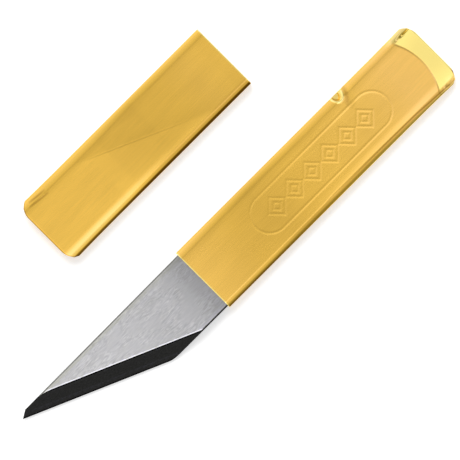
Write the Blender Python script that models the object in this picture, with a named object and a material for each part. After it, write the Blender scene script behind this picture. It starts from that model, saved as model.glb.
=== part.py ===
"""Kiridashi knife: a single-bevel blade crimped into a pressed sheet-brass handle, with its cap drawn off.

Metres, +Z up. The origin is the middle of the handle's flat back, on the surface that the knife lies on.
+X runs towards the blade's tip. The cap lies beside the handle, on the -Y side, with its mouth towards -X.
"""

import math

import bmesh
import bpy
from mathutils import Matrix, Vector

# Blade: a bar of soft iron, clad with hard steel on its flat back, ground to one bevel
BLADE_WIDTH = 0.0180
BLADE_THICKNESS = 0.0023
STEEL_THICKNESS = 0.0007
BLADE_REACH = 0.05645
HEEL_REACH = 0.01908
TIP_FROM_SPINE = 0.00178
TIP_FLAT_RUN = 0.00215
BEVEL_ANGLE = math.radians(27.7)
SPINE_TAPER = math.radians(0.36)
TAPER_START = -0.0207
BAR_CHAMFER = 0.0003
TANG_CHAMFER = 0.0010

# Sheet sleeves: the handle and the cap share one section
WALL = 0.00035
SIDE_CLEARANCE = 0.0002
FACE_CLEARANCE = 0.0004
ROLL_WIDTH = 0.0041
ROLL_POWER = 6
ROLL_STEPS = 12
HANDLE_LENGTH = 0.0815
HOLLOW_LENGTH = 0.0206
TIP_ROOM = 0.0069

# Closed ends: one face pressed down behind an arc, between the low beads that the two rolled sides become
PRESS_RUN = 0.0041
PRESS_ARC_RADIUS = 0.0187
PRESS_SLICES = 20
LIP_RUN = 0.0006
LIP_SQUEEZE = 0.00006
BEAD_WIDTH = 0.0015
BEAD_HEIGHT = 0.0024
SPREAD = 0.00015
SPREAD_RUN = 0.012
CORNER_RUN = 0.0024
CORNER_INSET = 0.0038
CORNER_STEPS = 8

# Crimp that locks the tang: a pit punched at the handle's spine side, over a notch in the tang
CRIMP_FROM_TANG_END = 0.0044
CRIMP_FROM_SIDE = 0.0010
CRIMP_RADIUS = 0.0018
CRIMP_FLOOR_RADIUS = 0.0007
CRIMP_DEPTH = 0.0013
CRIMP_SEGMENTS = 32
NOTCH_CLEARANCE = 0.00025

# Where the cap lies beside the knife: its axis and its mouth, from the knife's axis and the handle's mouth
CAP_ASIDE = 0.0358
CAP_BACK = 0.04345

# How far a cutter runs past what it cuts
OVERRUN = 0.002

TANG_LENGTH = HANDLE_LENGTH - HOLLOW_LENGTH
CAP_LENGTH = BLADE_REACH + TIP_ROOM
HALF_WIDTH = BLADE_WIDTH / 2 + SIDE_CLEARANCE + WALL
HALF_THICKNESS = BLADE_THICKNESS / 2 + FACE_CLEARANCE + WALL
FLAT_HALF = HALF_WIDTH - ROLL_WIDTH
CRIMP_X = CRIMP_FROM_TANG_END - TANG_LENGTH
CRIMP_Y = CRIMP_FROM_SIDE - HALF_WIDTH


def metal(name, colour, roughness):
    """A metallic surface of one colour."""
    material = bpy.data.materials.new(name)
    material.use_nodes = True
    shader = material.node_tree.nodes["Principled BSDF"]
    shader.inputs["Base Color"].default_value = (*colour, 1)
    shader.inputs["Metallic"].default_value = 1
    shader.inputs["Roughness"].default_value = roughness
    return material


def frame_at(name, location, rotation=(0, 0, 0)):
    """An empty that carries the pieces of one rigid body."""
    empty = bpy.data.objects.new(name, None)
    empty.location = location
    empty.rotation_euler = rotation
    bpy.context.scene.collection.objects.link(empty)
    return empty


def piece(name, shape, carrier, material=None):
    """An object from a bmesh, carried by an empty. One without a material is a cutter, which stays hidden."""
    bmesh.ops.recalc_face_normals(shape, faces=shape.faces)
    mesh = bpy.data.meshes.new(name)
    shape.to_mesh(mesh)
    shape.free()
    made = bpy.data.objects.new(name, mesh)
    made.parent = carrier
    bpy.context.scene.collection.objects.link(made)
    if material:
        mesh.shade_smooth()
        mesh.set_sharp_from_angle(angle=math.radians(30))
        mesh.materials.append(material)
    else:
        made.hide_render = True
        made.display_type = "WIRE"
    return made


def combine(target, tool, operation):
    """Adds a Boolean modifier that cuts away, joins on or keeps what a tool reaches."""
    modifier = target.modifiers.new(operation.lower() + "_" + tool.name, "BOOLEAN")
    modifier.operation = operation
    modifier.object = tool


def loft(sections):
    """A closed body through a row of sections, each a loop of as many points."""
    shape = bmesh.new()
    rings = [[shape.verts.new(point) for point in section] for section in sections]
    for end in (rings[0], rings[-1]):
        shape.faces.new(end)
    for near, far in zip(rings, rings[1:]):
        for index in range(len(near)):
            shape.faces.new((near[index - 1], near[index], far[index], far[index - 1]))
    return shape


def roll_profile(inset):
    """The sleeve's section as (y, z) points: flat faces whose sides roll over as a superellipse."""
    quarter = []
    for step in range(ROLL_STEPS + 1):
        turn = math.pi / 2 * step / ROLL_STEPS
        across = max(math.cos(turn), 0) ** (2 / ROLL_POWER)
        up = math.sin(turn)
        normal = Vector((ROLL_POWER * across ** (ROLL_POWER - 1) / ROLL_WIDTH, 2 * up / HALF_THICKNESS))
        surface = Vector((FLAT_HALF + ROLL_WIDTH * across, HALF_THICKNESS * up))
        quarter.append(surface - inset * normal.normalized())
    upper = quarter + [Vector((-y, z)) for y, z in reversed(quarter)]
    lower = [Vector((-y, -z)) for y, z in upper[1:-1]]
    return upper + lower


def tube(inset, closed_end, start, end):
    """The solid inside the sleeve's section, drawn in by inset, which spreads towards the closed end."""
    profile = roll_profile(inset)
    sections = []
    for x in (start, closed_end + SPREAD_RUN, end):
        widened = 1 + SPREAD / HALF_WIDTH * max(1 - (x - closed_end) / SPREAD_RUN, 0)
        sections.append([Vector((x, y * widened, z)) for y, z in profile])
    return loft(sections)


def punch_section(closed_end, y, height, outset):
    """The punch across one slice: down a slope from the arc crease, then level above the lip."""
    arc_y = min(abs(y), HALF_WIDTH - BEAD_WIDTH)
    sagitta = PRESS_ARC_RADIUS - math.sqrt(PRESS_ARC_RADIUS**2 - arc_y**2)
    drop = 2 * HALF_THICKNESS - height
    shift = outset * math.tan(math.atan2(drop, PRESS_RUN + sagitta - LIP_RUN) / 2)
    crease = closed_end + PRESS_RUN + sagitta + shift
    lip = closed_end + LIP_RUN + shift
    top = HALF_THICKNESS - outset
    high = HALF_THICKNESS + OVERRUN
    back = closed_end - OVERRUN
    points = ((crease, top), (crease, high), (back, high), (back, top - drop), (lip, top - drop))
    return [Vector((x, y, z)) for x, z in points]


def press_punch(closed_end, outset):
    """What presses the closed end from +Z: deep between the beads, and less deep over each bead."""
    web = HALF_WIDTH - BEAD_WIDTH + outset
    slices = [web * (2 * index / PRESS_SLICES - 1) for index in range(PRESS_SLICES + 1)]
    pressed = [punch_section(closed_end, y, 2 * WALL - LIP_SQUEEZE, outset) for y in slices]
    bead_span = (web + OVERRUN / 100, HALF_WIDTH + OVERRUN)
    left = [punch_section(closed_end, -y, BEAD_HEIGHT, outset) for y in reversed(bead_span)]
    right = [punch_section(closed_end, y, BEAD_HEIGHT, outset) for y in bead_span]
    return loft(left + pressed + right)


def end_trim(closed_end):
    """What trims the closed end to a straight edge with two rounded corners."""
    radius = (CORNER_RUN**2 + CORNER_INSET**2) / (2 * CORNER_RUN)
    sweep = 2 * math.atan(CORNER_RUN / CORNER_INSET)
    tangent_y = HALF_WIDTH + SPREAD - CORNER_INSET
    side = []
    for step in range(CORNER_STEPS + 1):
        turn = sweep * step / CORNER_STEPS
        side.append((closed_end + radius * (1 - math.cos(turn)), tangent_y + radius * math.sin(turn)))
    x, y = side[-1]
    side.append((x + OVERRUN * math.sin(sweep), y + OVERRUN * math.cos(sweep)))
    side.append((closed_end - 2 * OVERRUN, y + OVERRUN))
    outline = side + [(x, -y) for x, y in reversed(side)]
    reach = HALF_THICKNESS + OVERRUN
    return loft([[Vector((x, y, z)) for x, y in outline] for z in (-reach, reach)])


def sleeve(name, length, carrier, material):
    """A flattened sheet tube with its mouth at X = 0 and its closed end, pressed from +Z, at X = -length."""
    made = piece(name, tube(0, -length, 0, -length - OVERRUN / 2), carrier, material)
    cavity = piece(name + "_cavity", tube(WALL, -length, OVERRUN, -length - OVERRUN), carrier)
    lining = piece(name + "_lining", press_punch(-length, WALL), carrier)
    combine(cavity, lining, "DIFFERENCE")
    combine(made, piece(name + "_punch", press_punch(-length, 0), carrier), "DIFFERENCE")
    combine(made, cavity, "DIFFERENCE")
    combine(made, piece(name + "_trim", end_trim(-length), carrier), "DIFFERENCE")
    return made


def cone(radius_low, radius_high, low, high):
    """An upright cone or cylinder at the crimp's place."""
    shape = bmesh.new()
    bmesh.ops.create_cone(
        shape,
        cap_ends=True,
        segments=CRIMP_SEGMENTS,
        radius1=radius_low,
        radius2=radius_high,
        depth=high - low,
        matrix=Matrix.Translation((CRIMP_X, CRIMP_Y, (low + high) / 2)),
    )
    return shape


def crimp(handle, carrier):
    """Punches the sheet down into the tang's notch. The sheet keeps its wall around and under the pit."""
    floor = HALF_THICKNESS - CRIMP_DEPTH
    high = HALF_THICKNESS + OVERRUN
    flare = (CRIMP_RADIUS - CRIMP_FLOOR_RADIUS) / CRIMP_DEPTH
    mouth = CRIMP_RADIUS + flare * OVERRUN
    lining = piece("crimp_lining", cone(CRIMP_FLOOR_RADIUS + WALL, mouth + WALL, floor - WALL, high), carrier)
    keeper = piece("crimp_keeper", tube(WALL / 2, -HANDLE_LENGTH, 0, -HANDLE_LENGTH), carrier)
    combine(lining, keeper, "INTERSECT")
    combine(handle, lining, "UNION")
    combine(handle, piece("crimp_pit", cone(CRIMP_FLOOR_RADIUS, mouth, floor, high), carrier), "DIFFERENCE")


def cut_plane(shape, point, outward):
    """Cuts away what lies beyond a plane, and closes the cut."""
    geometry = shape.verts[:] + shape.edges[:] + shape.faces[:]
    done = bmesh.ops.bisect_plane(shape, geom=geometry, plane_co=point, plane_no=outward, clear_outer=True)
    edges = [item for item in done["geom_cut"] if isinstance(item, bmesh.types.BMEdge)]
    bmesh.ops.edgenet_fill(shape, edges=edges)


def blade_bar():
    """Both metals together: a chamfered bar, ground to its bevel, tip and taper, and to the corners of its tang."""
    side, top = BLADE_WIDTH / 2, BLADE_THICKNESS / 2
    face, rim = side - BAR_CHAMFER, top - BAR_CHAMFER
    right = [(face, -top), (side, -rim), (side, rim), (face, top)]
    section = right + [(-y, z) for y, z in reversed(right)]
    shape = loft([[Vector((x, y, z)) for y, z in section] for x in (-TANG_LENGTH, BLADE_REACH + OVERRUN)])
    bmesh.ops.recalc_face_normals(shape, faces=shape.faces)

    up = Vector((0, 0, 1))
    heel = Vector((HEEL_REACH, side, -top))
    tip = Vector((BLADE_REACH, TIP_FROM_SPINE - side, -top))
    spine = Vector((BLADE_REACH - TIP_FLAT_RUN, -side, -top))
    spine.y += (spine.x - TAPER_START) * math.tan(SPINE_TAPER)
    off_edge = up.cross(tip - heel).normalized()
    cut_plane(shape, tip, off_edge * math.sin(BEVEL_ANGLE) + up * math.cos(BEVEL_ANGLE))
    cut_plane(shape, tip, (tip - spine).cross(up).normalized())
    cut_plane(shape, spine, Vector((math.sin(SPINE_TAPER), -math.cos(SPINE_TAPER), 0)))

    for turn in (1, -1):
        corner = Vector((-TANG_LENGTH, turn * (side - TANG_CHAMFER), 0))
        cut_plane(shape, corner, Vector((-1, turn, 0)).normalized())
    return shape


def blade_layer(name, facing, carrier, material):
    """The iron above the weld, facing 1, or the steel below it, facing -1, notched for the crimp."""
    shape = blade_bar()
    weld = Vector((0, 0, STEEL_THICKNESS - BLADE_THICKNESS / 2))
    cut_plane(shape, weld, Vector((0, 0, -facing)))
    layer = piece(name, shape, carrier, material)
    radius = CRIMP_RADIUS + WALL + NOTCH_CLEARANCE
    notch = piece(name + "_notch", cone(radius, radius, -HALF_THICKNESS, HALF_THICKNESS), carrier)
    combine(layer, notch, "DIFFERENCE")


def main():
    for old in list(bpy.data.objects):
        bpy.data.objects.remove(old, do_unlink=True)

    brass = metal("brushed_brass", (0.80, 0.50, 0.11), 0.35)
    iron = metal("ground_iron", (0.50, 0.50, 0.50), 0.40)
    steel = metal("hard_steel", (0.36, 0.36, 0.37), 0.30)

    mouth = HANDLE_LENGTH / 2
    knife = frame_at("knife_frame", (mouth, 0, HALF_THICKNESS))
    handle = sleeve("handle_sleeve", HANDLE_LENGTH, knife, brass)
    crimp(handle, knife)
    blade_layer("blade_iron", 1, knife, iron)
    blade_layer("blade_steel", -1, knife, steel)

    cap = frame_at("cap_frame", (mouth - CAP_BACK, -CAP_ASIDE, HALF_THICKNESS), (0, math.pi, 0))
    sleeve("cap_sleeve", CAP_LENGTH, cap, brass)


main()
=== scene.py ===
"""Kiridashi knife, dressed: a handle and cap pressed from satin brass, and a ground blade with a dark bevel.

Metres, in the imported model's frame: +X to the blade's tip, +Y to the edge's side, +Z up from the floor.
"""

import math

import bmesh
import bpy
import numpy as np
from mathutils import Matrix, Vector, noise


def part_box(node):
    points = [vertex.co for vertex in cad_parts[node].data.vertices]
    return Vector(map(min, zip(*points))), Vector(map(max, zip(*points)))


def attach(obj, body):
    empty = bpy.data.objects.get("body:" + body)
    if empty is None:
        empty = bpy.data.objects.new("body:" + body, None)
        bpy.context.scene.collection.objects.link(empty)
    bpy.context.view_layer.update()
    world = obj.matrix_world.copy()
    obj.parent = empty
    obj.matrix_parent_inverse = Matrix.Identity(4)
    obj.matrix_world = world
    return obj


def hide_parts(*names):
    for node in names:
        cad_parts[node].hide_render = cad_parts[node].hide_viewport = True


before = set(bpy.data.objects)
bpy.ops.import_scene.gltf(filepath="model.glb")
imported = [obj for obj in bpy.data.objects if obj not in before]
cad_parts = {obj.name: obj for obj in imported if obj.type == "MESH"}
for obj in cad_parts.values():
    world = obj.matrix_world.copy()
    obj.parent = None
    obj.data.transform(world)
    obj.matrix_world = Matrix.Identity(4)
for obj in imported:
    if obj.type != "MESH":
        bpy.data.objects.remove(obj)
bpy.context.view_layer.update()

HANDLE_LOW, HANDLE_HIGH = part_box("handle_sleeve")
CAP_LOW, CAP_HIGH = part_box("cap_sleeve")
IRON_LOW, IRON_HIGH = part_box("blade_iron")
STEEL_LOW, STEEL_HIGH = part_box("blade_steel")

# Sheet sleeves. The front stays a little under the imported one's, so that pressed lines can stand up from it
HANDLE_LENGTH = HANDLE_HIGH.x - HANDLE_LOW.x
CAP_LENGTH = CAP_HIGH.x - CAP_LOW.x
CAP_Y = (CAP_LOW.y + CAP_HIGH.y) / 2
SETBACK = 0.0001
HALF_THICKNESS = (HANDLE_HIGH.z - HANDLE_LOW.z - SETBACK) / 2
HALF_WIDTH = 0.00955
WALL = 0.00035
SPINE_ROLL_RADIUS = 0.0030
EDGE_ROLL_RADIUS = 0.0024
ROLL_TURN = math.radians(43)
SIDE_CORNER_RADIUS = 0.0004
FLAT_HALF = HALF_WIDTH - EDGE_ROLL_RADIUS * math.sin(ROLL_TURN)
MOUTH_ROUNDING = 0.0001
BRIGHT_RIM_BAND = 0.00032

# How the flats wander: waves, a lean along each sleeve, a droop at the edge's side and a turn at the spine's
SHEET_UNEVENNESS = 0.000012
SHEET_WAVE = 0.011
HANDLE_SEED = 3.1
CAP_SEED = 7.7
HANDLE_LEAN_PLACES = (0.0, 0.006, 0.024, 0.045, 0.06, 0.0813)
HANDLE_LEAN_DEGREES = (0.0, -0.3, -1.0, -0.3, 0.2, 0.8)
CAP_LEAN_PLACES = (0.0, 0.008, 0.025, 0.042, 0.063)
CAP_LEAN_DEGREES = (0.2, -0.3, -0.9, 0.3, 0.5)
SHOULDER_SAG = 0.00015
SHOULDER_SAG_RUN = 0.055
SHOULDER_SAG_START = 0.0063
SHOULDER_SAG_WIDTH = 0.0026
SPINE_EASE_START = 0.0061
SPINE_EASE_RUN = 0.0016
SPINE_EASE_TURN = math.radians(2.0)

# Closed ends
PRESS_RUN = 0.0039
PRESS_ARC_RADIUS = 0.0160
PRESS_SOFTNESS = 0.0003
LIP_RUN = 0.00015
LIP_GAP = 0.00002
SPINE_BEAD_WIDTH = 0.0014
SPINE_BEAD_HEIGHT = 0.0031
EDGE_BEAD_WIDTH = 0.0008
EDGE_BEAD_HEIGHT = 0.0017
BEAD_SHOULDER = 0.0002
BEAD_SHOULDER_GROWTH = 0.35
SPREAD = HANDLE_HIGH.y - HALF_WIDTH
SPREAD_RUN = 0.012
CORNER_RUN = 0.0024
CORNER_INSET = 0.0038
TRIM_RUN = 0.006
END_ROLL_RUN = 0.0005
END_ROLL_RISE = 0.00012

# Painted highlight and shade on the sleeves, and their rims' wear: from 1, bare and pale, to -1, dark brown
# shade, and where each comes in or stops, and its run
EDGE_PAINTED_HIGHLIGHT = 0.35
EDGE_PAINTED_SHADE = 0.28
LOW_SIDE_PAINTED_SHADE = 0.85
HANDLE_HIGHLIGHT_ALONG = (0.030, 0.030)
HANDLE_HIGHLIGHT_ACROSS = (0.0089, 0.0003)
HANDLE_SHADE_ALONG = (0.012, 0.020)
HANDLE_SHADE_ACROSS = (0.0079, 0.0004)
HANDLE_SHADE_STOP = (0.0088, 0.0003)
HANDLE_LOW_SIDE_STOP = (0.012, 0.030)
HANDLE_LOW_SIDE_ACROSS = (0.0090, 0.0003)
BEAD_PAINTED_HIGHLIGHT = 0.7
BEAD_HIGHLIGHT_ALONG = (HANDLE_LENGTH - 0.009, 0.004)
BEAD_HIGHLIGHT_ACROSS = (HALF_WIDTH - SPINE_BEAD_WIDTH, 0.0003)
SLOPE_HIGHLIGHT_SHARE = 0.06
# The butt's rim bare with a painted highlight, a painted shadow at its corner on the edge's side, and painted
# shade along the cap's closed end
HANDLE_END_WEAR_AND_HIGHLIGHT = 0.3
DARK_CORNER_PAINTED_SHADOW = -1.0
DARK_CORNER_Y = 0.0072
DARK_CORNER_HALF_RUN = 0.0016
CAP_END_PAINTED_SHADE = -0.6
CAP_PAINTED_HIGHLIGHT = 0.28
CAP_HIGHLIGHT_ALONG = (0.022, 0.030)
CAP_HIGHLIGHT_ACROSS = (0.0066, 0.0008)
CAP_HIGHLIGHT_STOP = (0.0084, 0.0004)
CAP_SHADE_ACROSS = (0.0074, 0.0006)
CAP_LOW_SIDE_ACROSS = (0.0087, 0.0003)

# Crimp: half an ellipse punched down over the handle's spine side, with a lifted rim and a dent behind it
CRIMP_PLACE = (-0.0155, -0.00972)
CRIMP_REACH = (0.00172, 0.00244)
CRIMP_DEPTH = 0.0013
CRIMP_STEEP = 3.0
CRIMP_SLOPE = 1.0
CRIMP_SOFTNESS = 0.00006
CRIMP_LINING_SOFTNESS = 0.0002
CRIMP_RIM_HEIGHT = 0.00007
CRIMP_RIM_HALF_WIDTH = 0.00048
CRIMP_DENT = 0.00007
CRIMP_DENT_RUN = 0.0014
CRIMP_DENT_FADE = 0.0020
CRIMP_LOBE = 0.0011
CRIMP_LOBE_HALF_WIDTH = 0.0008
# Painted shade in the dent behind the crimp, and the pit's bare metal with a painted highlight
CRIMP_PAINTED_SHADE = 0.3
PIT_BARE_AND_HIGHLIGHT = 0.45

# What the press left: a fold between two lines of painted shade at the cap's corner, and a groove in the
# handle's roll with painted shade along it
CAP_FOLD = ((0.0589, -0.04385), (0.05565, -0.04360), (0.0530, -0.04335))
CAP_FOLD_LINES = (
    ((0.0586, -0.04436), (0.05565, -0.04410), (0.0526, -0.04388)),
    ((0.0589, -0.04345), (0.05565, -0.04312), (0.0524, -0.04280)),
)
FOLD_HEIGHT = 0.000026
FOLD_HALF_WIDTH = 0.0005
FOLD_PAINTED_SHADE = 0.5
HANDLE_GROOVE = ((-0.0385, 0.00905), (-0.0268, 0.00845), (-0.0094, 0.00818), (0.0050, 0.0081))
GROOVE_DEPTH = 0.00010
GROOVE_HALF_WIDTH = 0.00034
GROOVE_PAINTED_SHADE = 0.55

# Crease across the cap, past which its sheet leans away towards the spine's side, with painted shade along it
CAP_CREASE = ((0.0399, -0.04185), (0.0149, -0.03075))
CREASE_LEAN = math.radians(1.6)
CREASE_FADE = 0.009
CREASE_SOFTNESS = 0.0004
CREASE_DEPTH = 0.000010
CREASE_HALF_WIDTH = 0.0003
CREASE_PAINTED_SHADE = 0.12

# Pressed ornament on the handle's front: a stadium line round a row of nested lozenges
STADIUM_X = -0.0010
STADIUM_HALF_RUN = 0.01805
STADIUM_RADIUS = 0.0050
LINE_HALF_WIDTH = 0.00048
LINE_HEIGHT = 0.000022
LOZENGES = 6
LOZENGE_PITCH = 0.0062
LOZENGE_HALF_LENGTH = 0.0028
LOZENGE_HALF_WIDTH = 0.0029
LOZENGE_INNER_SHARE = 0.42

# Meshes: steps round a sheet, and rows along it and along its closed end
OUTER_STEPS = 224
OUTER_ROW = 0.0005
OUTER_END_ROW = 0.00015
INNER_STEPS = 96
INNER_ROW = 0.0015
INNER_END_ROW = 0.0004
END_ROWS_RUN = 0.0075
MOUTH_ROWS = 5
CURVE_SAMPLES = 200
# Name of the value per vertex: the rims' wear and painted highlights above 0, painted shade below 0
WEAR_AND_LIGHT = "wear_and_light"
SHARP_ANGLE = math.radians(38)
FLAT_SHARE = 0.97
WELD = 1e-7

# Blade. The spine's worn edge is given by places in from its corner, and how far each is worn down
HEEL_REACH = 0.01908
TIP_FROM_SPINE = 0.00178
TIP_FLAT_RUN = 0.00215
BEVEL_ANGLE = math.radians(27.7)
SPINE_TAPER = math.radians(0.36)
TAPER_LEAD = 0.0207
BAR_ROUNDING = 0.0004
SPINE_WORN = ((0.00110, 0.0), (0.00070, 0.00004), (0.00035, 0.00012), (0.0, 0.00031))
TANG_CHAMFER = 0.0010
NOTCH_RADIUS = 0.0024
NOTCH_X = -0.01575
NOTCH_Y = -0.00855
OVERRUN = 0.002
FACE_STEP = 0.0008
FORGE_DEPTH = 0.000012
FORGE_SIZE = 0.0016
FORGE_STRETCH = 2.5
FORGE_SEED = 1.3

# How far a face's normal has to keep to a direction to have its finish
SAME_WAY = 0.99
WORN_TILT = 0.93
EDGE_SIDE_TILT = 0.1

# The photograph's view: straight down from far off, with the knife slanting across the picture
FRAME_WIDTH = 0.115
LENS = 800
SENSOR = 36
FARTHEST = 20
VIEW_X = 0.02704
VIEW_Y = -0.00406


def smooth_step(value):
    """0 to 1, with flat ends."""
    value = np.clip(value, 0, 1)
    return value * value * (3 - 2 * value)


def soft_ramp(value, softness):
    """0 below zero and the value itself above it, with a round corner between."""
    corner = (np.clip(value, -softness, softness) + softness) ** 2 / (4 * softness)
    return np.where(value > softness, value, corner)


def past(value, stretch):
    """0 before a stretch and 1 past it, with a soft change between."""
    start, run = stretch
    return smooth_step((value - start) / run)


def ridge(distance, half_width):
    """A rounded ridge of height 1 along a line."""
    return 0.5 + 0.5 * np.cos(math.pi * np.clip(np.abs(distance) / half_width, 0, 1))


def unevenness(x, y, size, seed):
    """Smooth random heights from about -1 to 1 over a flat place."""
    return np.array([noise.noise(Vector((a / size, b / size, seed))) for a, b in zip(x, y)])


def along_line(x, y, points):
    """Distance of places from a bent line, and how far along it they are, from 0 to 1."""
    nearest = np.full_like(x, np.inf)
    progress = np.zeros_like(x)
    for index, (start, end) in enumerate(zip(points, points[1:])):
        run = (end[0] - start[0], end[1] - start[1])
        share = ((x - start[0]) * run[0] + (y - start[1]) * run[1]) / (run[0] ** 2 + run[1] ** 2)
        share = np.clip(share, 0, 1)
        distance = np.hypot(x - start[0] - share * run[0], y - start[1] - share * run[1])
        progress = np.where(distance < nearest, (index + share) / (len(points) - 1), progress)
        nearest = np.minimum(nearest, distance)
    return nearest, progress


def fading_ridge(x, y, points, half_width):
    """A rounded ridge of height 1 along a bent line, which fades towards both its ends."""
    distance, progress = along_line(x, y, points)
    return ridge(distance, half_width) * np.sqrt(np.sin(math.pi * progress))


def half_section(roll):
    """Half of a sleeve's section, from its back's middle to its front's middle, and a measure along it."""
    turn = np.linspace(0, ROLL_TURN, CURVE_SAMPLES)
    tight = np.linspace(ROLL_TURN, math.pi / 2, CURVE_SAMPLES)
    side = HALF_WIDTH - SIDE_CORNER_RADIUS * (1 - np.sin(tight))
    height = HALF_THICKNESS - roll * (1 - math.cos(ROLL_TURN))
    quarter_y = np.concatenate((side[0] - roll * (math.sin(ROLL_TURN) - np.sin(turn)), side[1:]))
    drop = SIDE_CORNER_RADIUS * (math.cos(ROLL_TURN) - np.cos(tight[1:]))
    quarter_z = np.concatenate((HALF_THICKNESS - roll * (1 - np.cos(turn)), height - drop))
    across = np.concatenate(([0], quarter_y, quarter_y[::-1], [0]))
    up = np.concatenate(([-HALF_THICKNESS], -quarter_z, quarter_z[::-1], [HALF_THICKNESS]))
    run = np.hypot(np.diff(across), np.diff(up))
    heading = np.unwrap(np.arctan2(np.diff(up), np.diff(across)))
    turning = np.concatenate(([0], np.abs(np.diff(heading))))
    measure = run / run.sum() + turning / turning.sum()
    return across, up, np.concatenate(([0], np.cumsum(measure))) / measure.sum()


SPINE_HALF = half_section(SPINE_ROLL_RADIUS)
EDGE_HALF = half_section(EDGE_ROLL_RADIUS)


def section_at(share):
    """The y and z of places a share of the way round the section, closest together where the sheet turns."""
    measure = 1 - np.abs(1 - 2 * share)
    edge_y, edge_z = (np.interp(measure, EDGE_HALF[2], part) for part in EDGE_HALF[:2])
    spine_y, spine_z = (np.interp(measure, SPINE_HALF[2], part) for part in SPINE_HALF[:2])
    return np.where(share <= 0.5, edge_y, -spine_y), np.where(share <= 0.5, edge_z, spine_z)


def sink(z, side, depth):
    """Lets the front, side 1, or the back, side -1, sink inwards, and its rolls with it."""
    return z - side * depth * np.clip(side * z / HALF_THICKNESS, 0, 1) ** 4


def lean(y, degrees):
    """How far a flat sinks when it leans towards +y, or towards -y if the angle is below 0."""
    rise = np.tan(np.radians(degrees))
    return np.abs(rise) * FLAT_HALF + rise * np.clip(y, -FLAT_HALF, FLAT_HALF)


def sag_shoulder(x, y, z, length):
    """Lets the sheet droop before its edge-side roll, more and more towards the closed end."""
    depth = SHOULDER_SAG * np.clip(1 - (x + length) / SHOULDER_SAG_RUN, 0, 1)
    droop = depth * smooth_step((y - SHOULDER_SAG_START) / SHOULDER_SAG_WIDTH)
    return sink(sink(z, 1, droop), -1, droop)


def ease_spine(y, z, side):
    """Lets a flat turn down a little before its spine-side roll."""
    past_start = soft_ramp(-y - SPINE_EASE_START - SPINE_EASE_RUN / 2, SPINE_EASE_RUN / 2)
    return sink(z, side, math.tan(SPINE_EASE_TURN) * past_start)


def round_mouth(x, y, z):
    """Rounds the sheet's outer edge at the mouth, x = 0."""
    beyond = np.clip(x + MOUTH_ROUNDING, 0, MOUTH_ROUNDING)
    inset = MOUTH_ROUNDING - np.sqrt(MOUTH_ROUNDING**2 - beyond**2)
    return y * (1 - inset / HALF_WIDTH), z * (1 - inset / HALF_THICKNESS)


def close_end(x, y, z, length, rolled):
    """Spreads, trims and presses the closed end, x = -length, from +z, and says where its slope is."""
    y = y * (1 + SPREAD / HALF_WIDTH * np.clip(1 - (x + length) / SPREAD_RUN, 0, 1))
    radius = (CORNER_RUN**2 + CORNER_INSET**2) / (2 * CORNER_RUN)
    beyond = np.clip(np.abs(y) - (HALF_WIDTH + SPREAD - CORNER_INSET), 0, CORNER_INSET)
    trimmed = radius - np.sqrt(radius**2 - beyond**2)
    x = x + trimmed * np.clip(1 - (x + length) / TRIM_RUN, 0, 1)
    from_end = x + length

    bead_width = np.where(y < 0, SPINE_BEAD_WIDTH, EDGE_BEAD_WIDTH)
    bead_height = np.where(y < 0, SPINE_BEAD_HEIGHT, EDGE_BEAD_HEIGHT)
    arc_y = np.clip(np.abs(y), 0, HALF_WIDTH - bead_width)
    sagitta = PRESS_ARC_RADIUS - np.sqrt(PRESS_ARC_RADIUS**2 - arc_y**2)
    slope_run = PRESS_RUN + sagitta - LIP_RUN
    down = soft_ramp(PRESS_RUN + sagitta - from_end, PRESS_SOFTNESS)
    down = 1 - soft_ramp(slope_run - down, PRESS_SOFTNESS / 3) / slope_run
    lip_share = (2 * WALL + LIP_GAP) / (2 * HALF_THICKNESS)
    bead_share = bead_height / (2 * HALF_THICKNESS)
    shoulder = BEAD_SHOULDER + BEAD_SHOULDER_GROWTH * np.clip(from_end, 0, None)
    on_bead = smooth_step((np.abs(y) - HALF_WIDTH + bead_width) / shoulder + 0.5)
    share = 1 - down * (1 - lip_share - (bead_share - lip_share) * on_bead)
    z = np.where(z > 0, z * (2 * share - 1), z)
    if rolled:
        rise = END_ROLL_RISE * np.clip(1 - from_end / END_ROLL_RUN, 0, 1) ** 2
        z = np.where(z < -HALF_THICKNESS / 2, z + rise, z)
    # The slope's mask is returned for its painted highlight
    return x, y, z, smooth_step(down / SLOPE_HIGHLIGHT_SHARE) * (1 - on_bead)


def from_crimp(x, y):
    """Distance of places from the crimp's rim, below 0 in the pit, and how far mouthwards they are."""
    along = (x - CRIMP_PLACE[0]) / CRIMP_REACH[0]
    across = (y - CRIMP_PLACE[1]) / CRIMP_REACH[1]
    return (np.hypot(along, across) - 1) * sum(CRIMP_REACH) / 2, along


def crimp(x, y, z, softness):
    """Punches the pit, steep on the mouth's side, lifts its rim and dents the sheet on its other side."""
    distance, mouthwards = from_crimp(x, y)
    steepness = CRIMP_SLOPE + (CRIMP_STEEP - CRIMP_SLOPE) * smooth_step(0.5 + mouthwards)
    inward = soft_ramp(-distance - CRIMP_RIM_HALF_WIDTH / 2, softness) * steepness
    depth = CRIMP_DEPTH - soft_ramp(CRIMP_DEPTH - inward, softness)
    dent = CRIMP_DENT * smooth_step(distance / CRIMP_DENT_RUN) * np.clip(-mouthwards, 0, 1)
    dent = dent * (1 - smooth_step((distance - CRIMP_DENT_RUN) / CRIMP_DENT_FADE))
    rim = CRIMP_RIM_HEIGHT * ridge(distance, CRIMP_RIM_HALF_WIDTH)
    front = np.clip(z / HALF_THICKNESS, 0, 1) ** 4
    pressed = np.minimum(z + (rim - dent) * front, np.where(depth > 0, HALF_THICKNESS - depth, np.inf))
    return np.where(z > 0, pressed, z)


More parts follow.
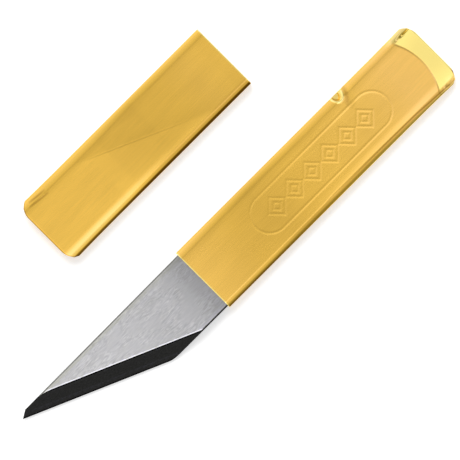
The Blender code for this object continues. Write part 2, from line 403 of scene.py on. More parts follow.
def crimp_light_and_shade(x, y, shine):
    """Round the crimp: a bare rim and a brighter pit, both with a painted highlight, and painted shade in the
    dent behind it.
    """
    distance, mouthwards = from_crimp(x, y)
    pit = smooth_step(-distance / CRIMP_RIM_HALF_WIDTH)
    bare = np.maximum(ridge(distance, CRIMP_RIM_HALF_WIDTH), PIT_BARE_AND_HIGHLIGHT * pit)
    behind = ridge(distance - CRIMP_LOBE, CRIMP_LOBE_HALF_WIDTH) * np.clip(-2 * mouthwards, 0, 1)
    return shine + (1 - shine) * bare - CRIMP_PAINTED_SHADE * behind


def ornament(x, y, half_width):
    """The height of the pressed lines at a place on the handle's front, from 0 to 1."""
    beyond = np.clip(np.abs(x - STADIUM_X) - STADIUM_HALF_RUN, 0, None)
    height = ridge(np.hypot(beyond, y) - STADIUM_RADIUS, half_width)
    reach = 1 / math.hypot(1 / LOZENGE_HALF_LENGTH, 1 / LOZENGE_HALF_WIDTH)
    for index in range(LOZENGES):
        centre = STADIUM_X + LOZENGE_PITCH * (index - (LOZENGES - 1) / 2)
        spot = np.abs(x - centre) / LOZENGE_HALF_LENGTH + np.abs(y) / LOZENGE_HALF_WIDTH
        for share in (1, LOZENGE_INNER_SHARE):
            height = np.maximum(height, ridge((spot - share) * reach, half_width))
    return height


def uneven_sheet(x, y, z, seed):
    """Lets the flats of a sheet wander a little, always inwards."""
    wander = SHEET_UNEVENNESS * (1 + unevenness(x, y, SHEET_WAVE, seed))
    return z * (1 - wander / HALF_THICKNESS)


def rims_wear_and_light(x, length, end_wear_and_light):
    """A sleeve's cut edges: bare with a painted highlight, 1, at its mouth, x = 0, and the given value at its
    closed end.
    """
    mouth = smooth_step((x + BRIGHT_RIM_BAND) / BRIGHT_RIM_BAND * 2)
    end = smooth_step((BRIGHT_RIM_BAND - x - length) / BRIGHT_RIM_BAND * 2)
    return mouth + end_wear_and_light * end


def handle_light_and_shade(x, y):
    """Painted light and shade on the handle's front, x = 0 at its mouth: painted shade along its edge's side,
    darkest near the mouth, and painted highlights near the butt and on a bead.
    """
    painted_highlight = EDGE_PAINTED_HIGHLIGHT * past(-x, HANDLE_HIGHLIGHT_ALONG) * past(y, HANDLE_HIGHLIGHT_ACROSS)
    painted_shade = EDGE_PAINTED_SHADE * past(-x, HANDLE_SHADE_ALONG) * past(y, HANDLE_SHADE_ACROSS)
    painted_shade = painted_shade * (1 - past(y, HANDLE_SHADE_STOP))
    low_side = LOW_SIDE_PAINTED_SHADE * (1 - past(-x, HANDLE_LOW_SIDE_STOP)) * past(y, HANDLE_LOW_SIDE_ACROSS)
    bead = BEAD_PAINTED_HIGHLIGHT * past(-x, BEAD_HIGHLIGHT_ALONG) * past(-y, BEAD_HIGHLIGHT_ACROSS)
    return painted_highlight - painted_shade - low_side + bead


def handle_form(x, share, fine):
    """The handle's skin in the row frame, by its place along and round the sheet, with its rims' wear and its
    painted light and shade.
    """
    y, z = section_at(share)
    front = z > 0
    # A painted shadow at the butt's corner on the edge's side; the rest of the butt's rim bare with a painted
    # highlight
    corner = ridge(y - DARK_CORNER_Y, DARK_CORNER_HALF_RUN)
    end_wear_and_light = HANDLE_END_WEAR_AND_HIGHLIGHT + (DARK_CORNER_PAINTED_SHADOW - HANDLE_END_WEAR_AND_HIGHLIGHT) * corner
    shine = rims_wear_and_light(x, HANDLE_LENGTH, end_wear_and_light) + front * handle_light_and_shade(x, y)
    z = sink(z, 1, lean(y, np.interp(-x, HANDLE_LEAN_PLACES, HANDLE_LEAN_DEGREES)))
    z = ease_spine(y, z, 1)
    z = sag_shoulder(x, y, z, HANDLE_LENGTH)
    if fine:
        y, z = round_mouth(x, y, z)
        flat_x = x + HANDLE_HIGH.x
        z = sink(z, 1, GROOVE_DEPTH * fading_ridge(flat_x, y, HANDLE_GROOVE, GROOVE_HALF_WIDTH))
        # Painted shade along the handle's groove
        distance, progress = along_line(flat_x, y, HANDLE_GROOVE)
        groove_shade = ridge(distance, GROOVE_HALF_WIDTH) * np.sqrt(1 - progress)
        shine = shine - front * GROOVE_PAINTED_SHADE * groove_shade
    x, y, z, slope = close_end(x, y, z, HANDLE_LENGTH, fine)
    # A painted highlight on the butt's pressed slope
    shine = shine + front * slope * (1 - np.abs(shine))
    x = x + HANDLE_HIGH.x
    z = uneven_sheet(x, y, z, HANDLE_SEED)
    if fine:
        z = sink(z, 1, -LINE_HEIGHT * ornament(x, y, LINE_HALF_WIDTH))
    shine = np.where(front, crimp_light_and_shade(x, y, shine), shine)
    z = crimp(x, y, z, CRIMP_SOFTNESS if fine else CRIMP_LINING_SOFTNESS)
    return np.stack((x, y, z + HALF_THICKNESS, shine), axis=1)


def cap_light_and_shade(x, y):
    """Painted light and shade on the cap's upper side, x = 0 at its mouth: painted shade near it and along
    its edge's side, and a painted highlight near the closed end.
    """
    near_end = past(-x, CAP_HIGHLIGHT_ALONG)
    painted_highlight = CAP_PAINTED_HIGHLIGHT * near_end * past(y, CAP_HIGHLIGHT_ACROSS) * (1 - past(y, CAP_HIGHLIGHT_STOP))
    painted_shade = EDGE_PAINTED_SHADE * (1 - near_end) * past(y, CAP_SHADE_ACROSS)
    low_side = LOW_SIDE_PAINTED_SHADE * past(y, CAP_LOW_SIDE_ACROSS)
    return painted_highlight - painted_shade - low_side


def cap_form(x, share, fine):
    """The cap's skin in the row frame. It lies the other way up, with its mouth towards -X."""
    y, z = section_at(share)
    z = -z
    upper = z < 0
    shine = rims_wear_and_light(x, CAP_LENGTH, CAP_END_PAINTED_SHADE) + upper * cap_light_and_shade(x, y)
    flat_x = CAP_LOW.x - x
    flat_y = CAP_Y + y
    z = sink(z, -1, lean(y, np.interp(-x, CAP_LEAN_PLACES, CAP_LEAN_DEGREES)))
    z = ease_spine(y, z, -1)
    z = sag_shoulder(x, y, z, CAP_LENGTH)
    z = sink(z, -1, beyond_crease(flat_x, flat_y))
    if fine:
        y, z = round_mouth(x, y, z)
        z = sink(z, -1, -FOLD_HEIGHT * fading_ridge(flat_x, flat_y, CAP_FOLD, FOLD_HALF_WIDTH))
        # Painted shade along the fold's two lines and along the crease
        lines = sum(fading_ridge(flat_x, flat_y, points, FOLD_HALF_WIDTH) for points in CAP_FOLD_LINES)
        crease = fading_ridge(flat_x, flat_y, CAP_CREASE, CREASE_HALF_WIDTH)
        z = sink(z, -1, CREASE_DEPTH * crease)
        shine = shine - upper * (FOLD_PAINTED_SHADE * lines + CREASE_PAINTED_SHADE * crease)
    x, y, z, _ = close_end(x, y, z, CAP_LENGTH, fine)
    z = uneven_sheet(x, y, z, CAP_SEED)
    return np.stack((CAP_LOW.x - x, CAP_Y + y, HALF_THICKNESS - z, shine), axis=1)


def beyond_crease(x, y):
    """How far the cap's sheet sinks past its crease: it leans away, less and less."""
    start, end = (Vector(point) for point in CAP_CREASE)
    away = (end - start).orthogonal().normalized()
    beyond = soft_ramp((x - start.x) * away.x + (y - start.y) * away.y, CREASE_SOFTNESS)
    return math.tan(CREASE_LEAN) * CREASE_FADE * (1 - np.exp(-beyond / CREASE_FADE))


def near_lines(x, share):
    """Where the handle's flat grid needs small faces for its pressed lines."""
    y, z = section_at(share)
    near = ornament(x + HANDLE_HIGH.x, y, LINE_HALF_WIDTH + OUTER_ROW) > 0
    return near & (z > HALF_THICKNESS * FLAT_SHARE)


def near_crimp(x, share):
    """Where the handle's flat grid needs small faces for its crimp."""
    y, z = section_at(share)
    near = from_crimp(x + HANDLE_HIGH.x, y)[0] < CRIMP_RIM_HALF_WIDTH + OUTER_ROW
    return near & (z > 0)


def near_folds(x, share):
    """Where the cap's flat grid needs small faces for its folds and its crease."""
    y, z = section_at(share)
    near = np.zeros_like(x, dtype=bool)
    for points in (*CAP_FOLD_LINES, CAP_FOLD, CAP_CREASE):
        distance = along_line(CAP_LOW.x - x, CAP_Y + y, points)[0]
        near |= distance < FOLD_HALF_WIDTH + OUTER_ROW
    return near & (z > 0)


def flat_grid(length, row, end_row, steps):
    """A flat grid: x is a place along the sleeve, from its mouth at 0, and y a share of the way round it."""
    mouth = -MOUTH_ROUNDING * (1 - np.cos(np.linspace(0, math.pi / 2, MOUTH_ROWS)))
    rim = np.array([-BRIGHT_RIM_BAND / 2, -BRIGHT_RIM_BAND])
    body = np.linspace(-2 * BRIGHT_RIM_BAND, END_ROWS_RUN - length, round((length - END_ROWS_RUN) / row) + 1)
    end = np.linspace(END_ROWS_RUN - length, -length, round(END_ROWS_RUN / end_row) + 1)
    places = np.concatenate((mouth, rim, body, end[1:]))
    shape = bmesh.new()
    bmesh.ops.create_grid(shape, x_segments=len(places) - 1, y_segments=steps, size=0.5)
    for vert in shape.verts:
        vert.co = (places[round((vert.co.x + 0.5) * (len(places) - 1))], vert.co.y + 0.5, 0)
    return shape


def refine(shape, chosen, cuts):
    """Splits the faces of a flat grid that a test of their middles picks."""
    middles = np.array([face.calc_center_median() for face in shape.faces])
    picked = chosen(middles[:, 0], middles[:, 1])
    edges = {edge for face, pick in zip(shape.faces, picked) if pick for edge in face.edges}
    bmesh.ops.subdivide_edges(shape, edges=list(edges), cuts=cuts, use_grid_fill=True)


def wrap(shape, form, fine):
    """Bends a flat grid into its form, welds it along the middle of its back and faces it outwards."""
    flat = np.array([vert.co for vert in shape.verts])
    shine = shape.verts.layers.float.new(WEAR_AND_LIGHT)
    for vert, (*place, wear_and_light) in zip(shape.verts, form(flat[:, 0], flat[:, 1], fine)):
        vert.co = place
        vert[shine] = wear_and_light
    bmesh.ops.remove_doubles(shape, verts=shape.verts, dist=WELD)
    shape.normal_update()
    if max(shape.verts, key=lambda vert: vert.co.z).normal.z < 0:
        bmesh.ops.reverse_faces(shape, faces=shape.faces)
        shape.normal_update()


def thicken_inwards(shape):
    """Turns a skin into the inner one, a wall further in."""
    places = [vert.co - WALL * vert.normal for vert in shape.verts]
    for vert, place in zip(shape.verts, places):
        vert.co = (vert.co.x if vert.is_boundary else place.x, place.y, place.z)
    bmesh.ops.reverse_faces(shape, faces=shape.faces)


def sleeve(name, form, length, zones, body, material):
    """A sheet sleeve: an outer skin with all its marks, an inner one a wall away, and both rims closed."""
    outer = flat_grid(length, OUTER_ROW, OUTER_END_ROW, OUTER_STEPS)
    inner = flat_grid(length, INNER_ROW, INNER_END_ROW, INNER_STEPS)
    for chosen, outer_cuts, inner_cuts in zones:
        refine(outer, chosen, outer_cuts)
        if inner_cuts:
            refine(inner, chosen, inner_cuts)
    wrap(outer, form, True)
    wrap(inner, form, False)
    thicken_inwards(inner)

    lining = bpy.data.meshes.new(name + "_lining")
    inner.to_mesh(lining)
    inner.free()
    outer.from_mesh(lining)
    bpy.data.meshes.remove(lining)
    rims = [edge for edge in outer.edges if edge.is_boundary]
    middle = sum(edge.verts[0].co.x for edge in rims) / len(rims)
    for tipward in (True, False):
        rim = [edge for edge in rims if (edge.verts[0].co.x > middle) == tipward]
        bmesh.ops.bridge_loops(outer, edges=rim)
    return placed(name, outer, body, material)


def as_object(name, shape):
    """An object at the origin from a bmesh."""
    mesh = bpy.data.meshes.new(name)
    shape.to_mesh(mesh)
    shape.free()
    made = bpy.data.objects.new(name, mesh)
    bpy.context.scene.collection.objects.link(made)
    return made


def placed(name, shape, body, *materials):
    """A piece of metal from a bmesh, with its finishes, riding on a body."""
    made = as_object(name, shape)
    made.data.shade_smooth()
    made.data.set_sharp_from_angle(angle=SHARP_ANGLE)
    for material in materials:
        made.data.materials.append(material)
    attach(made, body)
    return made


def cut_plane(shape, point, outward, keep=False):
    """Cuts along a plane. What lies beyond it goes, and the cut is closed, unless both sides are kept."""
    geometry = shape.verts[:] + shape.edges[:] + shape.faces[:]
    done = bmesh.ops.bisect_plane(
        shape, geom=geometry, plane_co=point, plane_no=outward, clear_outer=not keep
    )
    if not keep:
        edges = [item for item in done["geom_cut"] if isinstance(item, bmesh.types.BMEdge)]
        bmesh.ops.edgenet_fill(shape, edges=edges)


HEEL = Vector((HANDLE_HIGH.x + HEEL_REACH, IRON_HIGH.y, STEEL_LOW.z))
TIP = Vector((STEEL_HIGH.x, STEEL_LOW.y + TIP_FROM_SPINE, STEEL_LOW.z))
SPINE_CORNER = Vector((STEEL_HIGH.x - TIP_FLAT_RUN, STEEL_LOW.y, STEEL_LOW.z))
SPINE_CORNER.y += (SPINE_CORNER.x - HANDLE_HIGH.x + TAPER_LEAD) * math.tan(SPINE_TAPER)
SPINE_OUT = Vector((math.sin(SPINE_TAPER), -math.cos(SPINE_TAPER), 0))
UP = Vector((0, 0, 1))
OFF_EDGE = UP.cross(TIP - HEEL).normalized()
BEVEL_NORMAL = OFF_EDGE * math.sin(BEVEL_ANGLE) + UP * math.cos(BEVEL_ANGLE)
EDGE = OFF_EDGE.dot(HEEL)
SHOULDER = EDGE - (IRON_HIGH.z - STEEL_LOW.z) / math.tan(BEVEL_ANGLE)


def blade_bar():
    """Both metals together: a bar with rounded edges, ground to its bevel and tip, with a chamfered tang."""
    low = Vector((IRON_LOW.x, IRON_LOW.y, STEEL_LOW.z))
    high = Vector((STEEL_HIGH.x + OVERRUN, IRON_HIGH.y, IRON_HIGH.z))
    shape = bmesh.new()
    bmesh.ops.create_cube(shape, size=1)
    bmesh.ops.scale(shape, vec=high - low, verts=shape.verts)
    bmesh.ops.translate(shape, vec=(low + high) / 2, verts=shape.verts)
    cut_plane(shape, SPINE_CORNER, SPINE_OUT)
    long_edges = [edge for edge in shape.edges if abs(edge.verts[0].co.x - edge.verts[1].co.x) > OVERRUN]
    bmesh.ops.bevel(
        shape, geom=long_edges, offset=BAR_ROUNDING, segments=3, affect="EDGES", profile=0.5, material=-1
    )
    for (run, drop), (next_run, next_drop) in zip(SPINE_WORN, SPINE_WORN[1:]):
        slope = math.atan2(next_drop - drop, run - next_run)
        outward = SPINE_OUT * math.sin(slope) + UP * math.cos(slope)
        cut_plane(shape, SPINE_CORNER - SPINE_OUT * run + UP * (high.z - low.z - drop), outward)
    cut_plane(shape, TIP, BEVEL_NORMAL)
    cut_plane(shape, TIP, (TIP - SPINE_CORNER).cross(UP).normalized())
    for turn, side in ((1, IRON_HIGH.y), (-1, IRON_LOW.y)):
        corner = Vector((IRON_LOW.x, side - turn * TANG_CHAMFER, 0))
        cut_plane(shape, corner, Vector((-1, turn, 0)).normalized())
    return shape


def hammer_flat(shape):
    """Lets the iron's ground face sink a little here and there, where the hammer left it low."""
    top = [vert for vert in shape.verts if vert.co.z > IRON_HIGH.z - WELD]
    flat = [vert for vert in top if all(face.normal.z > SAME_WAY for face in vert.link_faces)]
    if flat:
        places = np.array([vert.co for vert in flat])
        heights = unevenness(places[:, 0] / FORGE_STRETCH, places[:, 1], FORGE_SIZE, FORGE_SEED)
        for vert, height in zip(flat, heights):
            vert.co.z -= FORGE_DEPTH * (1 + height)


def finish_of(face, facing):
    """Which finish a face of a layer has: that of its flat, 0, of the bevel, 1, or of the bar's sides, 2."""
    if face.normal.dot(BEVEL_NORMAL) > SAME_WAY:
        return 1
    tilted = face.normal.z * facing < WORN_TILT or face.normal.y > EDGE_SIDE_TILT
    return 2 if tilted else 0


def blade_layer(node, facing, slot, *materials):
    """The iron above the weld, facing 1, or the steel below it, facing -1."""
    shape = blade_bar()
    cut_plane(shape, Vector((0, 0, IRON_LOW.z)), Vector((0, 0, -facing)))
    for x in np.arange(HANDLE_HIGH.x, STEEL_HIGH.x, FACE_STEP):
        cut_plane(shape, Vector((x, 0, 0)), Vector((1, 0, 0)), keep=True)
    for y in np.arange(IRON_LOW.y + FACE_STEP, IRON_HIGH.y, FACE_STEP):
        cut_plane(shape, Vector((0, y, 0)), Vector((0, 1, 0)), keep=True)
    shape.normal_update()
    hammer_flat(shape)
    for face in shape.faces:
        face.material_index = finish_of(face, facing)
    made = placed("ground_" + node, shape, "knife", *materials)
    notch_crimp(made)
    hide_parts(node)


def notch_crimp(made):
    """Clears the tang round the crimp."""
    shape = bmesh.new()
    depth = 4 * HALF_THICKNESS
    bmesh.ops.create_cone(
        shape, cap_ends=True, segments=48, radius1=NOTCH_RADIUS, radius2=NOTCH_RADIUS, depth=depth,
        matrix=Matrix.Translation((NOTCH_X, NOTCH_Y, 0)),
    )
    cutter = as_object("notch", shape)
    modifier = made.modifiers.new("notch", "BOOLEAN")
    modifier.object = cutter
    evaluated = made.evaluated_get(bpy.context.evaluated_depsgraph_get())
    cut = bpy.data.meshes.new_from_object(evaluated)
    made.modifiers.clear()
    made.data = cut
    bpy.data.objects.remove(cutter)


def add_node(material, kind, inputs=None, **settings):
    """A node with some of its inputs and settings set. An input that is another node's output is linked."""
    node = material.node_tree.nodes.new("ShaderNode" + kind)
    for setting, value in settings.items():
        setattr(node, setting, value)
    for socket, value in (inputs or {}).items():
        if isinstance(value, bpy.types.NodeSocket):
            material.node_tree.links.new(value, node.inputs[socket])
        else:
            node.inputs[socket].default_value = value
    return node


def surface(name, colour, roughness, metallic=1):
    """A material with its shader's own values set, and the shader."""
    material = bpy.data.materials.new(name)
    material.use_nodes = True
    shader = material.node_tree.nodes["Principled BSDF"]
    shader.inputs["Base Color"].default_value = (*colour, 1)
    shader.inputs["Roughness"].default_value = roughness
    shader.inputs["Metallic"].default_value = metallic
    return material, shader


def grain(material, across, along, detail, distortion=0):
    """Noise drawn out along X: its size across and along, in metres."""
    coordinates = add_node(material, "TexCoord").outputs["Object"]
    stretched = add_node(
        material, "Mapping", {"Vector": coordinates, "Scale": (1 / along, 1 / across, 1 / across)}
    ).outputs["Vector"]
    return add_node(
        material, "TexNoise", {"Vector": stretched, "Scale": 1, "Detail": detail, "Distortion": distortion}
    ).outputs["Fac"]


def ramp(material, factor, stops):
    """A colour from a ramp of places and colours."""
    node = add_node(material, "ValToRGB", {"Fac": factor})
    elements = node.color_ramp.elements
    for index, (place, colour) in enumerate(stops):
        element = elements[index] if index < 2 else elements.new(place)
        element.position = place
        element.color = (*colour, 1)
    return node.outputs["Color"]


def shaded(material, base, factor, dark, light):
    """A colour that runs from a dark share of the base to a light share of it."""
    stops = [(place, [share * part for part in base]) for place, share in ((0.3, dark), (0.7, light))]
    return ramp(material, factor, stops)


def mixed(material, factor, first, second, blend="MIX"):
    """Two colours mixed."""
    inputs = {0: factor, 6: first, 7: second}
    return add_node(material, "Mix", inputs, data_type="RGBA", blend_type=blend).outputs[2]


def mixed_value(material, factor, first, second):
    """Two values mixed."""
    return add_node(material, "Mix", {0: factor, 2: first, 3: second}, data_type="FLOAT").outputs[0]


def map_range(material, value, low, high, to_low, to_high):
    """A value from one range brought to another."""
    node = add_node(
        material, "MapRange",
        {"Value": value, "From Min": low, "From Max": high, "To Min": to_low, "To Max": to_high},
    )
    return node.outputs["Result"]


def part_of_place(material, axis):
    """One coordinate of a place on the object."""
    coordinates = add_node(material, "TexCoord").outputs["Object"]
    return add_node(material, "SeparateXYZ", {0: coordinates}).outputs[axis]


def joined(material, output, socket):
    """Links an output to a shader's input."""
    material.node_tree.links.new(output, socket)


def bumped(material, shader, height, strength, distance):
    """Gives a shader the small bumps of a height."""
    bump = add_node(material, "Bump", {"Height": height, "Strength": strength, "Distance": distance})
    joined(material, bump.outputs["Normal"], shader.inputs["Normal"])


# Metals and painted colours, and the painted highlight line along the bevel's shoulder and the bevel's
# painted dark border, by how far they reach
BRASS = (0.80, 0.488, 0.075)
# Pale brass for bare cut edges and painted highlights, and dark brown for painted shade
BARE_BRASS_AND_HIGHLIGHT = (0.92, 0.76, 0.24)
PAINTED_SHADE_BROWN = (0.24, 0.11, 0.006)
IRON = (0.55, 0.545, 0.468)
SHOULDER_HIGHLIGHT_IRON = (0.85, 0.84, 0.74)
BEVEL_PAINTED_DARK = (0.027, 0.027, 0.0285)
FORGE_SCALE = (0.2, 0.2, 0.15)
BRIGHT_STEEL = (0.40, 0.40, 0.41)
SHOULDER_LINE = 0.00032
SHOULDER_LINE_SOFTNESS = 0.00014
BEVEL_BORDER = 0.0004

# Painted light and shade along each metal, partly patina on the brass: places along X, the tone there, and
# how pale it is, paler where a highlight is painted
HANDLE_PAINTED_LIGHT_TONES = (
    (-0.0410, 1.06, 1.35), (-0.0290, 1.06, 1.45), (-0.0200, 1.03, 1.2), (-0.0044, 1.0, 1.05),
    (0.0056, 0.97, 1), (0.0156, 0.89, 1), (0.0256, 0.95, 1), (0.0356, 1.0, 1.15), (0.0408, 1.05, 1.2),
)
CAP_PAINTED_LIGHT_TONES = (
    (-0.0027, 1.03, 1), (0.0060, 1.0, 1.1), (0.0140, 0.98, 1), (0.0230, 0.96, 1), (0.0380, 1.0, 1),
    (0.0607, 0.99, 1),
)
# The iron darker towards the handle's mouth: painted shade
IRON_PAINTED_SHADE_TONES = (
    (0.0408, 0.56, 1), (0.0433, 0.62, 1), (0.0458, 0.74, 1), (0.0508, 0.86, 1), (0.0558, 0.88, 1),
    (0.0608, 0.93, 1), (0.0658, 0.96, 1), (0.0758, 0.99, 1),
)


def tone_along(material, steps):
    """A tone that changes along X: painted light and shade."""
    low, high = steps[0][0], steps[-1][0]
    share = map_range(material, part_of_place(material, "X"), low, high, 0, 1)
    stops = []
    for place, tone, paleness in steps:
        stops.append(((place - low) / (high - low), (tone, tone, tone * paleness)))
    return ramp(material, share, stops)


def brushed_brass(name, painted_tones):
    """Satin sheet brass, brushed along its length, with bare cut edges and painted highlights in pale brass,
    and painted shade in dark brown in its folds and along its edge's side.
    """
    material, shader = surface(name, BRASS, roughness=0.22)
    fine = grain(material, across=0.00016, along=0.009, detail=3)
    broad = grain(material, across=0.005, along=0.02, detail=2)
    wear_and_light = add_node(material, "Attribute", attribute_name=WEAR_AND_LIGHT).outputs["Fac"]
    colour = shaded(material, BRASS, fine, dark=0.965, light=1.035)
    patches = shaded(material, (1, 1, 1), broad, dark=0.96, light=1.04)
    colour = mixed(material, 1.0, colour, patches, "MULTIPLY")
    # Painted light and shade along the sleeve, partly patina
    colour = mixed(material, 1.0, colour, tone_along(material, painted_tones), "MULTIPLY")
    # Painted shade: dark brown where the value is below 0
    colour = mixed(material, map_range(material, wear_and_light, -1, 0, 1, 0), colour, (*PAINTED_SHADE_BROWN, 1))
    # Bare cut edges and painted highlights: pale brass where the value is above 0
    joined(material, mixed(material, wear_and_light, colour, (*BARE_BRASS_AND_HIGHLIGHT, 1)), shader.inputs["Base Color"])
    satin = map_range(material, fine, 0.3, 0.7, 0.17, 0.21)
    joined(material, mixed_value(material, wear_and_light, satin, 0.14), shader.inputs["Roughness"])
    bumped(material, shader, fine, strength=0.08, distance=0.00001)
    return material


def off_edge(material):
    """How far a place is towards the cutting edge and past it."""
    coordinates = add_node(material, "TexCoord").outputs["Object"]
    return add_node(
        material, "VectorMath", {0: coordinates, 1: tuple(OFF_EDGE)}, operation="DOT_PRODUCT"
    ).outputs["Value"]


def ground_iron():
    """The blade's soft iron: light grey, streaked along its length, with a painted highlight line at the
    shoulder.
    """
    material, shader = surface("ground_iron", IRON, roughness=0.35)
    fine = grain(material, across=0.0003, along=0.0024, detail=3, distortion=0.8)
    colour = shaded(material, IRON, fine, dark=0.93, light=1.07)
    forged = grain(material, across=0.0007, along=0.0032, detail=1, distortion=2.2)
    forged = shaded(material, (1, 1, 1), forged, dark=0.84, light=1.17)
    patches = map_range(material, grain(material, across=0.004, along=0.006, detail=1), 0.4, 0.55, 0, 1)
    marks = mixed(material, patches, (1, 1, 1, 1), forged)
    colour = mixed(material, 1.0, colour, marks, "MULTIPLY")
    # Painted shade on the iron towards the handle's mouth, lighter towards the tip
    colour = mixed(material, 1.0, colour, tone_along(material, IRON_PAINTED_SHADE_TONES), "MULTIPLY")
    # Painted highlight along the bevel's shoulder
    line_start = SHOULDER - SHOULDER_LINE
    line = map_range(material, off_edge(material), line_start, line_start + SHOULDER_LINE_SOFTNESS, 0, 1)
    joined(material, mixed(material, line, colour, (*SHOULDER_HIGHLIGHT_IRON, 1)), shader.inputs["Base Color"])
    joined(material, map_range(material, fine, 0.3, 0.7, 0.3, 0.42), shader.inputs["Roughness"])
    bumped(material, shader, fine, strength=0.4, distance=0.00003)
    return material


def dark_bevel():
    """The bevel: near black, a painted dark reflection, with the finest grain and painted dark lines along
    its borders.
    """
    material, shader = surface("dark_bevel", BEVEL_PAINTED_DARK, roughness=0.35)
    fine = grain(material, across=0.0002, along=0.0004, detail=3)
    places = {0: off_edge(material), 1: (SHOULDER + EDGE) / 2}
    from_middle = add_node(material, "Math", places, operation="SUBTRACT").outputs[0]
    from_middle = add_node(material, "Math", {0: from_middle}, operation="ABSOLUTE").outputs[0]
    half = (EDGE - SHOULDER) / 2
    # Painted dark lines along the bevel's borders
    border = map_range(material, from_middle, half - BEVEL_BORDER, half - BEVEL_BORDER / 2, 1, 0.1)
    colour = mixed(material, 1.0, shaded(material, BEVEL_PAINTED_DARK, fine, 0.7, 1.3), border, "MULTIPLY")
    joined(material, colour, shader.inputs["Base Color"])
    bumped(material, shader, fine, strength=0.2, distance=0.00002)
    return material


def dark_sides():
    """The bar's sides, with the forge's scale left on them, and painted shade that makes them blacker on the
    edge's side.
    """
    material, shader = surface("dark_sides", FORGE_SCALE, roughness=0.4)
    fine = grain(material, across=0.00015, along=0.003, detail=3)
    # Painted shade: the sides darker towards the edge's side
    scale = map_range(material, part_of_place(material, "Y"), IRON_LOW.y, IRON_HIGH.y, 1, 0.04)
    colour = mixed(material, 1.0, shaded(material, FORGE_SCALE, fine, 0.7, 1.3), scale, "MULTIPLY")
    joined(material, colour, shader.inputs["Base Color"])
    return material


def ground_back():
    """The hard steel's flat back, ground bright."""
    material, shader = surface("ground_back", BRIGHT_STEEL, roughness=0.28)
    fine = grain(material, across=0.00012, along=0.006, detail=3)
    joined(material, shaded(material, BRIGHT_STEEL, fine, 0.92, 1.08), shader.inputs["Base Color"])
    joined(material, map_range(material, fine, 0.3, 0.7, 0.24, 0.34), shader.inputs["Roughness"])
    return material


# Directions of the photograph on the floor: across the knife, to its lower right, and along it, to its butt
ACROSS = Vector((0, 1, 0))
ALONG = Vector((-1, 0, 0))

# The room's light by degrees from overhead, and how blue it is: towards the edge's side, and to the butt
ROOM_ACROSS = (
    (-90, 1.3, 1.0), (-74, 1.3, 1.05), (-67, 1.34, 1.4), (-51, 1.2, 1.3), (-36, 1.08, 1.15),
    (-26, 1.02, 1.05), (-17, 0.95, 1), (-12, 0.78, 1), (-8, 0.70, 1), (-4, 0.80, 1), (0, 0.98, 1),
    (3, 1.1, 1.1), (6, 1.6, 1.6), (11, 1.6, 1.6), (15, 1.05, 1.1), (22, 1.0, 1), (34, 1.0, 1),
    (42, 0.86, 0.95), (49, 0.62, 0.85), (56, 0.42, 0.8), (66, 0.36, 0.6), (90, 0.4, 0.5),
)
ROOM_ALONG = (
    (-90, 1.3, 1), (-60, 1.15, 1), (-30, 1.15, 1), (-18, 1.25, 1), (-8, 1.15, 1), (0, 1.0, 1), (8, 0.82, 1),
    (18, 0.72, 1), (40, 0.75, 1), (55, 0.7, 1), (70, 0.5, 1), (90, 0.5, 1),
)

# The room's light where a ray leads far enough towards the butt, and what it gives the knife all round
BUTT_ROOM = (0.75, 0.75, 0.75)
BUTT_REACH = (0.62, 0.8)
ROOM_LIGHT = (0.55, 0.55, 0.55)
WINDOW_COLOUR = (1.0, 0.955, 0.91)
LAMPS_AIM = Vector((0.02, -0.01, 0))
FLOOR_SIZE = 12
FLOOR_GAP = 0.00002
FLOOR_COLOUR = (0.85, 0.85, 0.85)
FLOOR_LIFT = 0.42


def seen_directly(material):
    """1 for rays from the camera, from a mirror or from glass, and 0 for the light that falls on things."""
    path = add_node(material, "LightPath")
    seen = path.outputs["Is Camera Ray"]
    for ray in ("Is Glossy Ray", "Is Transmission Ray"):
        seen = add_node(material, "Math", {0: seen, 1: path.outputs[ray]}, operation="MAXIMUM").outputs[0]
    return seen


def floor():
    """A plain white floor that keeps the knife's shadow."""
    shape = bmesh.new()
    bmesh.ops.create_grid(shape, x_segments=1, y_segments=1, size=FLOOR_SIZE / 2)
    bmesh.ops.translate(shape, vec=(0, 0, -FLOOR_GAP), verts=shape.verts)
    made = as_object("floor", shape)
    material, shader = surface("white_floor", FLOOR_COLOUR, roughness=0.9, metallic=0)
    shader.inputs["Specular IOR Level"].default_value = 0
    shader.inputs["Emission Color"].default_value = (1, 1, 1, 1)
    lift = map_range(material, seen_directly(material), 0, 1, 0, FLOOR_LIFT)
    joined(material, lift, shader.inputs["Emission Strength"])
    made.data.materials.append(material)


def lamp(name, toward, distance, width, length, radiance, colour=(1, 1, 1), mirrored=False):
    """A soft rectangular lamp aimed at the knife: its light falls on things, or is only mirrored in them."""
    data = bpy.data.lights.new(name, "AREA")
    data.shape = "RECTANGLE"
    data.size = width
    data.size_y = length
    data.energy = radiance * math.pi * width * length
    data.color = colour
    made = bpy.data.objects.new(name, data)
    direction = toward.normalized()
    made.location = LAMPS_AIM + direction * distance
    made.rotation_euler = direction.to_track_quat("Z", "Y").to_euler()
    made.visible_camera = False
    made.visible_glossy = mirrored
    made.visible_diffuse = not mirrored
    bpy.context.scene.collection.objects.link(made)


def reach(world, toward):
    """How far a ray leads towards a direction, from -1 to 1."""
    direction = add_node(world, "TexCoord").outputs["Generated"]
    return add_node(world, "VectorMath", {0: direction, 1: toward}, operation="DOT_PRODUCT").outputs["Value"]


def room_level(world, toward, steps):
    """The room's light by the angle from overhead, as a colour."""
    stops = []
    for degrees, level, blueness in steps:
        place = (1 + math.sin(math.radians(degrees))) / 2
        stops.append((place, (level, level, level * blueness)))
    return ramp(world, map_range(world, reach(world, toward), -1, 1, 0, 1), stops)


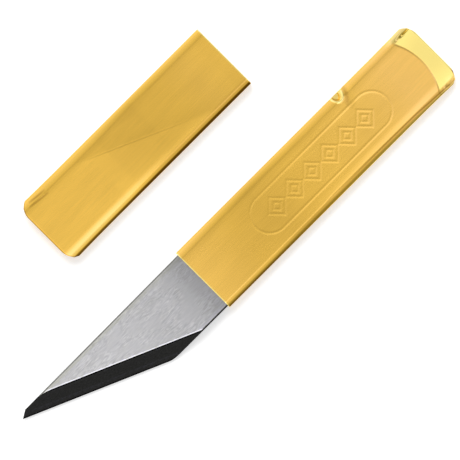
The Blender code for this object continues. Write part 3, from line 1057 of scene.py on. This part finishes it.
def sky():
    """A pale room: brightest low on the spine's side, and dark low on the edge's side."""
    world = bpy.data.worlds.new("room")
    bpy.context.scene.world = world
    world.use_nodes = True
    background = world.node_tree.nodes["Background"]
    across = room_level(world, ACROSS, ROOM_ACROSS)
    near_butt = map_range(world, reach(world, ALONG), *BUTT_REACH, 0, 1)
    across = mixed(world, near_butt, across, (*BUTT_ROOM, 1))
    mirrored = mixed(world, 1.0, across, room_level(world, ALONG, ROOM_ALONG), "MULTIPLY")
    light = mixed(world, seen_directly(world), (*ROOM_LIGHT, 1), mirrored)
    joined(world, light, background.inputs["Color"])


def camera():
    """The photograph's camera: straight down, from far off."""
    data = bpy.data.cameras.new("camera")
    data.lens = LENS
    data.sensor_width = SENSOR
    data.clip_end = FARTHEST
    made = bpy.data.objects.new("camera", data)
    height = FRAME_WIDTH * LENS / SENSOR
    right = (ACROSS + ALONG).normalized()
    upward = (ALONG - ACROSS).normalized()
    turned = Matrix((right, upward, UP)).transposed().to_4x4()
    made.matrix_world = Matrix.Translation((VIEW_X, VIEW_Y, HANDLE_HIGH.z + height)) @ turned
    bpy.context.scene.collection.objects.link(made)
    bpy.context.scene.camera = made


def main():
    """The two sleeves and the blade's two layers, then the floor, the light and the camera."""
    zones = ((near_lines, 2, 0), (near_crimp, 4, 2))
    handle_brass = brushed_brass("brushed_brass", HANDLE_PAINTED_LIGHT_TONES)
    handle = sleeve("brass_handle", handle_form, HANDLE_LENGTH, zones, "knife", handle_brass)
    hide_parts("handle_sleeve")
    cap_brass = brushed_brass("brushed_brass_cap", CAP_PAINTED_LIGHT_TONES)
    cap = sleeve("brass_cap", cap_form, CAP_LENGTH, ((near_folds, 3, 0),), "cap", cap_brass)
    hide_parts("cap_sleeve")

    bevel = dark_bevel()
    sides = dark_sides()
    blade_layer("blade_iron", 1, "clad_iron", ground_iron(), bevel, sides)
    blade_layer("blade_steel", -1, "edge_steel", ground_back(), bevel, sides)

    floor()
    sky()
    lamp("key", toward=UP * 1.3 - ACROSS + ALONG * 0.5, distance=2.5, width=1.6, length=1.6, radiance=5)
    lamp(
        "butt_window", toward=UP * 0.42 + ALONG, distance=2.5, width=3.2, length=1.9, radiance=0.66,
        colour=WINDOW_COLOUR, mirrored=True,
    )
    camera()
    bpy.context.scene.view_settings.view_transform = "Standard"


main()
